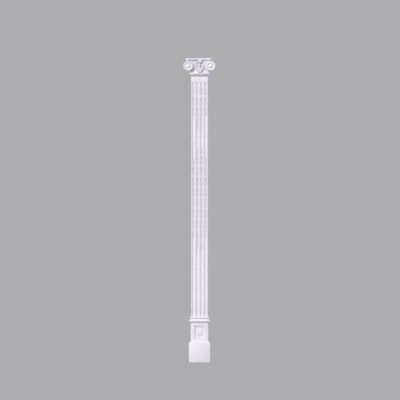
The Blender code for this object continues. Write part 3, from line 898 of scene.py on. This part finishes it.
@dataclass(frozen=True)
class ScrollShape:
    """A scroll: its dished body, the band that winds round it from the bell, and its boss.

    Attributes:
        x: Middle, across.
        z: Middle, above the capital's foot.
        radius: Full radius.
        boss: Radius of the boss.
        turns: Turns of the band.
        back: Depth where its body starts.
        front: Depth of its face.
        hand: The way that it winds.
        lead: Start of the band's straight lead, as across, out and above the foot, or None for no lead.
        lead_steps: Segments of the lead.
        lead_start: Thickness of the band at the lead's start, as a share of the full one.
        shrink: How fast the winding draws in, for each radian.
        taper: How much thinner the band is at its end.
        band_share: Half width of the band, as a share of the scroll's radius.
        proud_share: How far the band stands out of the face, as a share of the scroll's radius.
        boss_proud: How far the boss stands out of it, as a share of the same.
        dish: Rings of the dished face from the middle out, as share of the radius and of the band's height.
        seam: Share of a turn from which the end of the outline is drawn to its start.
        wrap: Share of a whole turn that the outline makes.
    """

    x: float
    z: float
    radius: float
    boss: float
    turns: float
    back: float
    front: float
    hand: Winding = Winding.OUTWARD
    lead: tuple[float, float, float] | None = None
    lead_steps: int = 12
    lead_start: float = 0.6
    shrink: float = 0.01
    taper: float = 0.12
    band_share: float = 0.145
    proud_share: float = 0.15
    boss_proud: float = 0.24
    dish: tuple[tuple[float, float], ...] = (
        (0.0, -0.2), (0.48, -0.2), (0.56, -0.16), (0.64, 0.02), (0.74, 0.38), (0.86, 0.74), (1.0, 0.88))
    seam: float = 0.93
    wrap: float = 0.999

    def winding(self, turn: float, reach: float) -> tuple[float, float]:
        """Place of the winding at a turn from its top, across and up from the scroll's middle."""
        now = reach * math.exp(-self.shrink * turn)
        return self.hand.value * now * math.sin(turn), now * math.cos(turn)

    def add(self, bm: bmesh.types.BMesh, side: int, bottom: float, detail: int) -> None:
        """Add the scroll on one side.

        Args:
            bm: Mesh that it is added to.
            side: -1 for the left and 1 for the right.
            bottom: Height of the capital's foot.
            detail: Faces in a turn.
        """
        band = self.radius * self.band_share
        proud = self.radius * self.proud_share
        reach = self.radius - band
        steps = round(detail * self.turns)
        path = []
        if self.lead:
            for step in range(self.lead_steps):
                along = step / self.lead_steps
                ease = along * along * (3 - 2 * along)
                path.append((self.lead[0] + (self.x - self.lead[0]) * along,
                             self.lead[1] + (self.front - self.lead[1]) * ease,
                             self.lead[2] + (self.z + reach - self.lead[2]) * ease,
                             self.lead_start + (1 - self.lead_start) * ease))
        for step in range(steps + 1):
            turn = 2 * math.pi * self.turns * step / steps
            across, up = self.winding(turn, reach)
            path.append((self.x + across, self.front, self.z + up, 1 - self.taper * step / steps))

        def band_place(across: float, along: float) -> tuple[float, float, float]:
            """Put a point on the band.

            Args:
                across: Share of a turn round the band's section.
                along: Share of the band's path.

            Returns:
                The point.
            """
            index = round(along * (len(path) - 1))
            before, after = path[max(0, index - 1)], path[min(len(path) - 1, index + 1)]
            heading = Vector((after[0] - before[0], after[2] - before[2])).normalized() * self.hand.value
            x, y, z, size = path[index]
            turn = 2 * math.pi * across
            wide = band * size * math.copysign(abs(math.cos(turn)) ** 0.7, math.cos(turn))
            deep = proud * math.sin(turn)
            return (side * (x + heading.y * wide), -(y + deep), bottom + z - heading.x * wide)

        cap_ends(bm, shaped_grid(bm, 12, len(path) - 1, band_place))

        rings = self.dish

        def body_place(across: float, along: float) -> tuple[float, float, float]:
            """Put a point on the dished face, the rim, or the back, which the last two rows make.

            Args:
                across: Share of a turn round the scroll.
                along: Share of the rows, from the middle of the face to the middle of the back.

            Returns:
                The point.
            """
            index = round(along * (len(rings) + 1))
            share, lift = rings[min(index, len(rings) - 1)]
            depth = self.back if index >= len(rings) else self.front + proud * lift
            share = share if index <= len(rings) else 0.0
            x, z = self.winding(2 * math.pi * across * self.wrap, reach)
            blend = max(0.0, (across - self.seam) / (1 - self.seam))
            x, z = x * (1 - blend), z + (reach - z) * blend
            return (side * (self.x + x * share), -depth, bottom + self.z + z * share)

        shaped_grid(bm, detail, len(rings) + 1, body_place)

        def boss_place(across: float, along: float) -> tuple[float, float, float]:
            """Put a point on the boss.

            Args:
                across: Share of a turn round the boss.
                along: Share of the way from its top to its foot.

            Returns:
                The point.
            """
            share, lift = math.sin(math.pi / 2 * along), math.cos(math.pi / 2 * along)
            turn = 2 * math.pi * across
            return (side * (self.x + self.boss * share * math.sin(turn)),
                    -(self.front + self.boss_proud * self.radius * lift - 0.5 * proud * along ** 8),
                    bottom + self.z + self.boss * share * math.cos(turn))

        cap_ends(bm, shaped_grid(bm, detail, 10, boss_place))


@dataclass
class CapitalMoulding:
    """Neck and bell with an abacus, two volutes, small scrolls, a fan of leaves and a flower.

    Attributes:
        half: Half of the width that all steps out are counted from.
        depth: Depth that they are counted from.
        bottom: Height of the capital's foot.
        height: Its own height. The heights below are its parts, or drops from the abacus's underside.
        neck_fillet: Height over which the astragal steps back to the neck.
        abacus_hollow: How far the middle of the abacus's front lies behind its corners.
        horn_cut: Width and depth of the canted corners.
        side_hollow: How far the abacus's side is hollow at the wall.
        side_bend: Power of that hollow's curve.
        fascia: Edge of the abacus in millimetres, as rise and set-back, from its underside up.
        necking_ease: Rounding of the necking's lower and upper edge.
        necking_lip: Drop of the necking's own top.
        arm_inner: Where an arm starts, across.
        arm_outer: Where it ends at its top.
        arm_foot_outer: Where it ends at its foot.
        arm_lap: How far it runs up behind the necking.
        arm_outs: How far it stands out at its foot, at its inner end and at its outer end.
        arm_flare: Power of the curve of its outer edge.
        arm_bend: Powers of the curve of its front, at its inner and its outer end.
        arm_back: How far its back lies inside the neck.
        leaf_rows: The rows from the back to the front, in millimetres and degrees: rise above the neck, step
            out, length, width, and the lean of each leaf.
        leaf_spread: How far apart the leaves of a row stand, as a share of their width.
        bed: Half width, half depth and half height of the bed that the leaves grow from.
        bed_rise: Height of its middle above the neck.
        bed_foot: Width of its foot, as a share of its full width.
        flower_drop: Drop of the flower's middle.
        petals: Lean of each petal, in degrees.
        pendant: Length of the leaf under the flower.
        pendant_keel: Height of its ridge.
        bud: Half width, half depth and half height of the bud.
        bud_drop: How far the bud hangs below the flower's middle.
        bud_power: Power that gives the bud its sharp edges.
        bud_girth: Power that fills it out towards its ends.
        curl_across: Middle of a small scroll, across.
        curl_lap: How far the volute's band starts behind the small scroll's face.
        curl_rise: How far under the small scroll's top it starts.
        volute_across: How far the middle of a volute lies outside the half width.
        corner: Place of the block that joins a volute and the abacus, as across, out and drop.
        corner_size: Half width, half depth and half height of that block.
        rounded_from: Least turn of an edge that is rounded, in degrees.
        sharp_angle: Least turn that stays sharp in the shading, in degrees.
        shade_reach: How far away a neighbouring face adds painted shade to a hollow.
        shade_strength: How strong that painted shade is.
    """

    half: float = 47 * MM
    depth: float = 17 * MM
    bottom: float = 680.8 * MM
    height: float = 101 * MM
    foot_out: float = 1 * MM
    foot_height: float = 10.5 * MM
    astragal_out: float = 10 * MM
    astragal_height: float = 7.5 * MM
    astragal_foot_out: float = 8.5 * MM
    astragal_steps: int = 10
    neck_fillet: float = 0.5 * MM
    neck_out: float = 2.4 * MM
    neck_height: float = 11 * MM
    bell_out: float = 13 * MM
    bell_steps: int = 12
    abacus_height: float = 11 * MM
    abacus_out: float = 32 * MM
    abacus_front_out: float = 30 * MM
    abacus_hollow: float = 9 * MM
    horn_cut: float = 17 * MM
    side_hollow: float = 6 * MM
    side_bend: float = 1.4
    side_steps: int = 6
    fascia: tuple[tuple[float, float], ...] = (
        (0, 1.6), (0.5, 0.7), (1.6, 0), (5.8, 0), (6.2, 1.1), (7, 1.3), (7.6, 0.8), (8, 0.1))
    abacus_ease: float = 0.5 * MM
    necking_height: float = 6.5 * MM
    necking_set_back: float = 9 * MM
    necking_ease: float = 1.5 * MM
    necking_lip: float = 1.2 * MM
    arm_inner: float = 10 * MM
    arm_outer: float = 62 * MM
    arm_foot_outer: float = 48 * MM
    arm_lap: float = 1 * MM
    arm_height: float = 53 * MM
    arm_outs: tuple[float, float, float] = (2.4 * MM, 14 * MM, 20 * MM)
    arm_flare: float = 0.6
    arm_bend: tuple[float, float] = (0.78, 0.56)
    arm_back: float = 5 * MM
    arm_rows: int = 16
    leaf_rows: tuple[tuple, ...] = (
        (8, 4, 38, 19, (-38, -13, 13, 38)), (2, 7, 29, 17, (-33, 0, 33)), (-6, 9, 18, 13, (-31, 0, 31)))
    leaf_spread: float = 0.45
    bed: tuple[float, float, float] = (22 * MM, 9 * MM, 25 * MM)
    bed_rise: float = 21 * MM
    bed_foot: float = 0.35
    flower_drop: float = 3 * MM
    petals: tuple[int, ...] = (-125, -80, 80, 125)
    petal_length: float = 13 * MM
    petal_width: float = 10 * MM
    pendant: float = 31 * MM
    pendant_width: float = 15 * MM
    pendant_keel: float = 4 * MM
    bud: tuple[float, float, float] = (6.4 * MM, 8 * MM, 11 * MM)
    bud_drop: float = 3 * MM
    bud_power: float = 0.7
    bud_girth: float = 0.8
    curl_across: float = 21 * MM
    curl_drop: float = 12 * MM
    curl_radius: float = 7.5 * MM
    curl_boss: float = 2.8 * MM
    curl_set_back: float = 14 * MM
    curl_detail: int = 24
    curl_lap: float = 3 * MM
    curl_rise: float = 2.1 * MM
    volute_across: float = 16.85 * MM
    volute_drop: float = 33.5 * MM
    volute_radius: float = 27.5 * MM
    volute_boss: float = 13 * MM
    volute_set_back: float = 11 * MM
    volute_detail: int = 48
    corner: tuple[float, float, float] = (64 * MM, 35 * MM, 2.5 * MM)
    corner_size: tuple[float, float, float] = (9 * MM, 7 * MM, 5 * MM)
    edge_rounding: float = 0.5 * MM
    rounded_from: float = 28
    sharp_angle: float = 42
    shade_reach: float = 10 * MM
    shade_strength: float = 0.9

    @property
    def neck_top(self) -> float:
        """Height of the neck's top above the foot."""
        return self.foot_height + self.astragal_height + self.neck_height

    @property
    def abacus_bottom(self) -> float:
        """Height of the abacus's underside above the foot."""
        return self.height - self.abacus_height

    @property
    def abacus_depth(self) -> float:
        """Full depth of the abacus."""
        return self.depth + self.abacus_front_out

    def outline(self, set_back: float, steps: int = 20) -> list[tuple[float, float]]:
        """Plan of the abacus, with hollow sides and front and canted corners.

        Args:
            set_back: How far it lies inside the full plan.
            steps: Segments of the hollow front.

        Returns:
            The points (x, y), from the right end on the wall round to the left one.
        """
        half = self.half + self.abacus_out - set_back
        depth = self.abacus_depth - set_back
        side = []
        for step in range(self.side_steps + 1):
            along = step / self.side_steps
            side.append((half - self.side_hollow * (1 - along) ** self.side_bend,
                         -(depth - self.horn_cut) * along))
        front = []
        for step in range(steps + 1):
            across = 1 - 2 * step / steps
            front.append(((half - self.horn_cut) * across,
                          -(depth - self.abacus_hollow * (1 - across ** 2))))
        return side + front + [(-x, y) for x, y in reversed(side)]

    def add_abacus(self, bm: bmesh.types.BMesh) -> None:
        """Add the abacus and the hollow necking under it.

        Args:
            bm: Mesh of the capital.
        """
        low, high = self.abacus_bottom, self.height
        necking, set_back, ease = low - self.necking_height, self.necking_set_back, self.necking_ease
        levels = [(necking, set_back + ease), (necking + ease, set_back), (low - self.necking_lip, set_back),
                  (low, set_back - ease)]
        levels += [(low + rise * MM, back * MM) for rise, back in self.fascia]
        levels += [(high - self.abacus_ease, 0), (high, self.abacus_ease)]
        loops = [[(x, y, self.bottom + height) for x, y in self.outline(back)] for height, back in levels]
        count = len(loops[0])

        def place(across: float, along: float) -> tuple[float, float, float]:
            """Take a point of the outline at one of the levels."""
            return loops[round(along * (len(loops) - 1))][round(across * count) % count]

        cap_ends(bm, shaped_grid(bm, count, len(loops) - 1, place))

    def add_body(self, bm: bmesh.types.BMesh) -> None:
        """Add the foot, astragal, neck and bell.

        Args:
            bm: Mesh of the capital, which is still empty.
        """
        necking_bottom = self.abacus_bottom - self.necking_height
        profile = [(0, self.foot_out)]
        profile += half_round(self.foot_height, self.astragal_height, self.astragal_foot_out,
                              self.astragal_out, self.astragal_steps)
        profile += [(self.foot_height + self.astragal_height + self.neck_fillet, self.neck_out),
                    (self.neck_top, self.neck_out)]
        profile += quarter(profile[-1], (necking_bottom, self.bell_out), self.bell_steps, True)
        stacked(bm, self.half, self.depth, self.bottom, profile)
        bmesh.ops.recalc_face_normals(bm, faces=bm.faces)
        soften(bm, self.edge_rounding, self.rounded_from)

    def add_arm(self, bm: bmesh.types.BMesh, side: int) -> None:
        """Add the smooth arm that swells from the bell to a volute.

        Args:
            bm: Mesh of the capital.
            side: -1 for the left and 1 for the right.
        """
        inner, outer, foot_outer = self.arm_inner, self.arm_outer, self.arm_foot_outer
        foot_out, inner_out, outer_out = self.arm_outs
        inner_bend, outer_bend = self.arm_bend
        top = self.bottom + self.abacus_bottom - self.necking_height + self.arm_lap
        rows = self.arm_rows

        def place(across: float, along: float) -> tuple[float, float, float]:
            """Put a point on the arm's front, or on its buried back, which the last rows make.

            Args:
                across: Share of the way from its inner end to its outer end.
                along: Share of the way round it, from the front's foot over the top.

            Returns:
                The point.
            """
            index = round(along * (rows + 3)) % (rows + 3)
            up = min(1.0, index / rows) if index != rows + 2 else 0.0
            edge = foot_outer + (outer - foot_outer) * up ** self.arm_flare
            x = side * (inner + (edge - inner) * across)
            height = top - self.arm_height * (1 - up)
            if index > rows:
                return (x, -(self.depth - self.arm_back), height)
            reach = inner_out + (outer_out - inner_out) * across
            bend = inner_bend + (outer_bend - inner_bend) * across
            swell = 0.5 - 0.5 * math.cos(math.pi * up ** bend)
            return (x, -(self.depth + foot_out + (reach - foot_out) * swell), height)

        cap_ends(bm, shaped_grid(bm, 20, rows + 3, place))

    def leaves(self) -> list[LeafShape]:
        """Lay out the fan of leaves on the bell.

        Returns:
            The leaves, back row first.
        """
        made = []
        for rise, foot_out, reach, width, angles in self.leaf_rows:
            for sideways in angles:
                foot = (self.leaf_spread * width * MM * math.sin(math.radians(sideways)),
                        -(self.depth + foot_out * MM), self.bottom + self.neck_top + rise * MM)
                made.append(LeafShape(foot, reach * MM, width * MM, sideways))
        return made

    def add_bed(self, bm: bmesh.types.BMesh) -> None:
        """Add the rounded bed that the leaves grow from, narrower at its foot.

        Args:
            bm: Mesh of the capital.
        """
        centre = Vector((0, -self.depth, self.bottom + self.neck_top + self.bed_rise))
        wide, thick, tall = self.bed
        for vert in bmesh.ops.create_uvsphere(bm, u_segments=28, v_segments=18, radius=1)["verts"]:
            share = self.bed_foot + (1 - self.bed_foot) * (vert.co.z + 1) / 2
            x, y, z = vert.co
            vert.co = centre + Vector((wide * share * x, thick * share * y, tall * z))

    def add_flower(self, bm: bmesh.types.BMesh) -> None:
        """Add the flower on the middle of the abacus and the leaf that hangs under it.

        Args:
            bm: Mesh of the capital.
        """
        height = self.bottom + self.abacus_bottom - self.flower_drop
        centre = (0.0, self.abacus_hollow - self.abacus_depth, height)
        for sideways in self.petals:
            petal = LeafShape(centre, self.petal_length, self.petal_width, sideways, lobes=2)
            petal.add(bm, columns=10, rows=16)
        foot = (0.0, centre[1] + self.petal_width, height)
        pendant = LeafShape(foot, self.pendant, self.pendant_width, 180, lobes=2, keel=self.pendant_keel)
        pendant.add(bm, columns=12, rows=24)
        half, thick, tall = self.bud

        def place(across: float, along: float) -> Vector:
            """Put a point on the four-sided bud.

            Args:
                across: Share of a turn round it.
                along: Share of the way from its top to its foot.

            Returns:
                The point.
            """
            turn, rise = 2 * math.pi * across, math.pi * along
            wide = math.cos(turn) * abs(math.cos(turn)) ** self.bud_power
            deep = math.sin(turn) * abs(math.sin(turn)) ** self.bud_power
            girth = math.sin(rise) ** self.bud_girth
            return Vector(centre) + Vector((half * wide * girth, thick * deep * girth,
                                            tall * math.cos(rise) - self.bud_drop))

        shaped_grid(bm, 28, 16, place)

    def scrolls(self) -> tuple[ScrollShape, ScrollShape]:
        """Lay out the scrolls of one side.

        Returns:
            The volute and the small scroll, from which the volute's band starts.
        """
        curl = ScrollShape(
            x=self.curl_across, z=self.abacus_bottom - self.curl_drop, radius=self.curl_radius,
            boss=self.curl_boss, turns=1.2, back=self.depth + 1 * MM,
            front=self.abacus_depth - self.curl_set_back, hand=Winding.INWARD, shrink=0.075, taper=0.45,
            boss_proud=0.1)
        lead = (curl.x, curl.front - self.curl_lap, curl.z + curl.radius - self.curl_rise)
        volute = ScrollShape(
            x=self.half + self.volute_across, z=self.abacus_bottom - self.volute_drop,
            radius=self.volute_radius, boss=self.volute_boss, turns=1.0, back=self.depth - 5 * MM,
            front=self.abacus_depth - self.volute_set_back, lead=lead)
        return volute, curl

    def add_corner(self, bm: bmesh.types.BMesh, side: int) -> None:
        """Add the rounded block that joins a volute to the corner of the abacus.

        Args:
            bm: Mesh of the capital.
            side: -1 for the left and 1 for the right.
        """
        across, out, drop = self.corner
        place = Matrix.Translation((side * across, -out, self.bottom + self.abacus_bottom - drop))
        bmesh.ops.create_uvsphere(bm, u_segments=20, v_segments=12, radius=1,
                                  matrix=place @ Matrix.Diagonal((*self.corner_size, 1)))

    def build(self) -> bmesh.types.BMesh:
        """Model the capital.

        Returns:
            The mesh.
        """
        bm = bmesh.new()
        self.add_body(bm)
        self.add_abacus(bm)
        volute, curl = self.scrolls()
        for side in (-1, 1):
            self.add_arm(bm, side)
            volute.add(bm, side, self.bottom, self.volute_detail)
            curl.add(bm, side, self.bottom, self.curl_detail)
            self.add_corner(bm, side)
        for leaf in self.leaves():
            leaf.add(bm)
        self.add_bed(bm)
        self.add_flower(bm)
        return bm

    def dress(self) -> bpy.types.Object:
        """Build the capital and give it its primer."""
        return finish_piece(self.build(), "capital", Primer(), self.sharp_angle,
                            self.shade_reach, self.shade_strength)


@dataclass
class Studio:
    """Pale floor, soft light from the upper left, and a camera that looks level at the front.

    Attributes:
        picture: Width that the picture shows.
        aim_x: Middle of the picture, across.
        aim_z: Its height.
        distance: How far the camera stands from the wall's plane.
        floor_z: Height of the part's foot.
        floor_gap: Gap under it.
        floor_half: Half width of the floor.
        floor_colour: Colour of the floor.
        lit: Light that comes from all round.
        seen: Colour of the ground behind the part.
    """

    picture: float = 2.26
    aim_x: float = 0.0028
    aim_z: float = -0.0201
    distance: float = 4.0
    floor_z: float = -0.9368
    floor_gap: float = 0.2 * MM
    floor_half: float = 14.0
    floor_colour: tuple[float, float, float] = (0.46, 0.46, 0.475)
    lit: tuple[float, float, float] = (0.31, 0.31, 0.375)
    seen: tuple[float, float, float] = (0.42, 0.42, 0.435)

    def build(self) -> None:
        """Set up the floor, the lights, the world and the camera."""
        self._floor()
        self._sun("key", (-0.68, -1.0, 0.72), 2.35, 9, (1.0, 0.975, 0.955))
        self._sun("fill", (1.4, -0.5, 0.2), 0.55, 60, (0.97, 0.97, 1.0))
        self._sun("back", (0.4, 1.2, 0.3), 1.2, 50, (1.0, 1.0, 1.0))
        self._world()
        self._camera()

    def _floor(self) -> None:
        """Lay the pale floor just under the part."""
        bm = bmesh.new()
        bmesh.ops.create_grid(bm, x_segments=1, y_segments=1, size=self.floor_half,
                              matrix=Matrix.Translation((0, 0, self.floor_z - self.floor_gap)))
        mesh = bpy.data.meshes.new("floor")
        bm.to_mesh(mesh)
        bm.free()
        floor = bpy.data.objects.new("floor", mesh)
        bpy.context.scene.collection.objects.link(floor)
        paint = bpy.data.materials.new("pale floor")
        paint.use_nodes = True
        shader = paint.node_tree.nodes["Principled BSDF"]
        shader.inputs["Base Color"].default_value = (*self.floor_colour, 1)
        shader.inputs["Roughness"].default_value = 0.8
        mesh.materials.append(paint)

    def _world(self) -> None:
        """Set the light from all round, and the plain grey that the camera sees behind the part."""
        world = bpy.data.worlds.new("studio")
        world.use_nodes = True
        nodes, links = world.node_tree.nodes, world.node_tree.links
        lit = nodes["Background"]
        lit.inputs["Color"].default_value = (*self.lit, 1)
        seen = nodes.new("ShaderNodeBackground")
        seen.inputs["Color"].default_value = (*self.seen, 1)
        choice = nodes.new("ShaderNodeMixShader")
        links.new(nodes.new("ShaderNodeLightPath").outputs["Is Camera Ray"], choice.inputs["Fac"])
        links.new(lit.outputs["Background"], choice.inputs[1])
        links.new(seen.outputs["Background"], choice.inputs[2])
        links.new(choice.outputs["Shader"], nodes["World Output"].inputs["Surface"])
        bpy.context.scene.world = world
        bpy.context.scene.view_settings.view_transform = "Standard"

    def _camera(self) -> None:
        """Set up the camera, level and square to the front."""
        camera = bpy.data.cameras.new("camera")
        camera.type = "ORTHO"
        camera.ortho_scale = self.picture
        eye = bpy.data.objects.new("camera", camera)
        eye.location = (self.aim_x, -self.distance, self.aim_z)
        eye.rotation_euler = (math.pi / 2, 0, 0)
        bpy.context.scene.collection.objects.link(eye)
        bpy.context.scene.camera = eye

    def _sun(self, name: str, source: tuple[float, float, float], strength: float, spread: float,
             colour: tuple[float, float, float]) -> None:
        """Add a soft distant light.

        Args:
            name: Name of the light.
            source: Direction that it comes from.
            strength: Its strength.
            spread: Its width on the sky, in degrees.
            colour: Its colour.
        """
        light = bpy.data.lights.new(name, "SUN")
        light.energy = strength
        light.color = colour
        light.angle = math.radians(spread)
        lamp = bpy.data.objects.new(name, light)
        lamp.rotation_euler = Vector(source).to_track_quat("Z", "Y").to_euler()
        bpy.context.scene.collection.objects.link(lamp)


def main() -> None:
    """Build the studio and the three mouldings."""
    logging.basicConfig(level=logging.INFO, format="%(name)s: %(message)s")
    Studio().build()
    for moulding in (BaseMoulding(), ShaftMoulding(), CapitalMoulding()):
        moulding.dress()


if __name__ == "__main__":
    main()
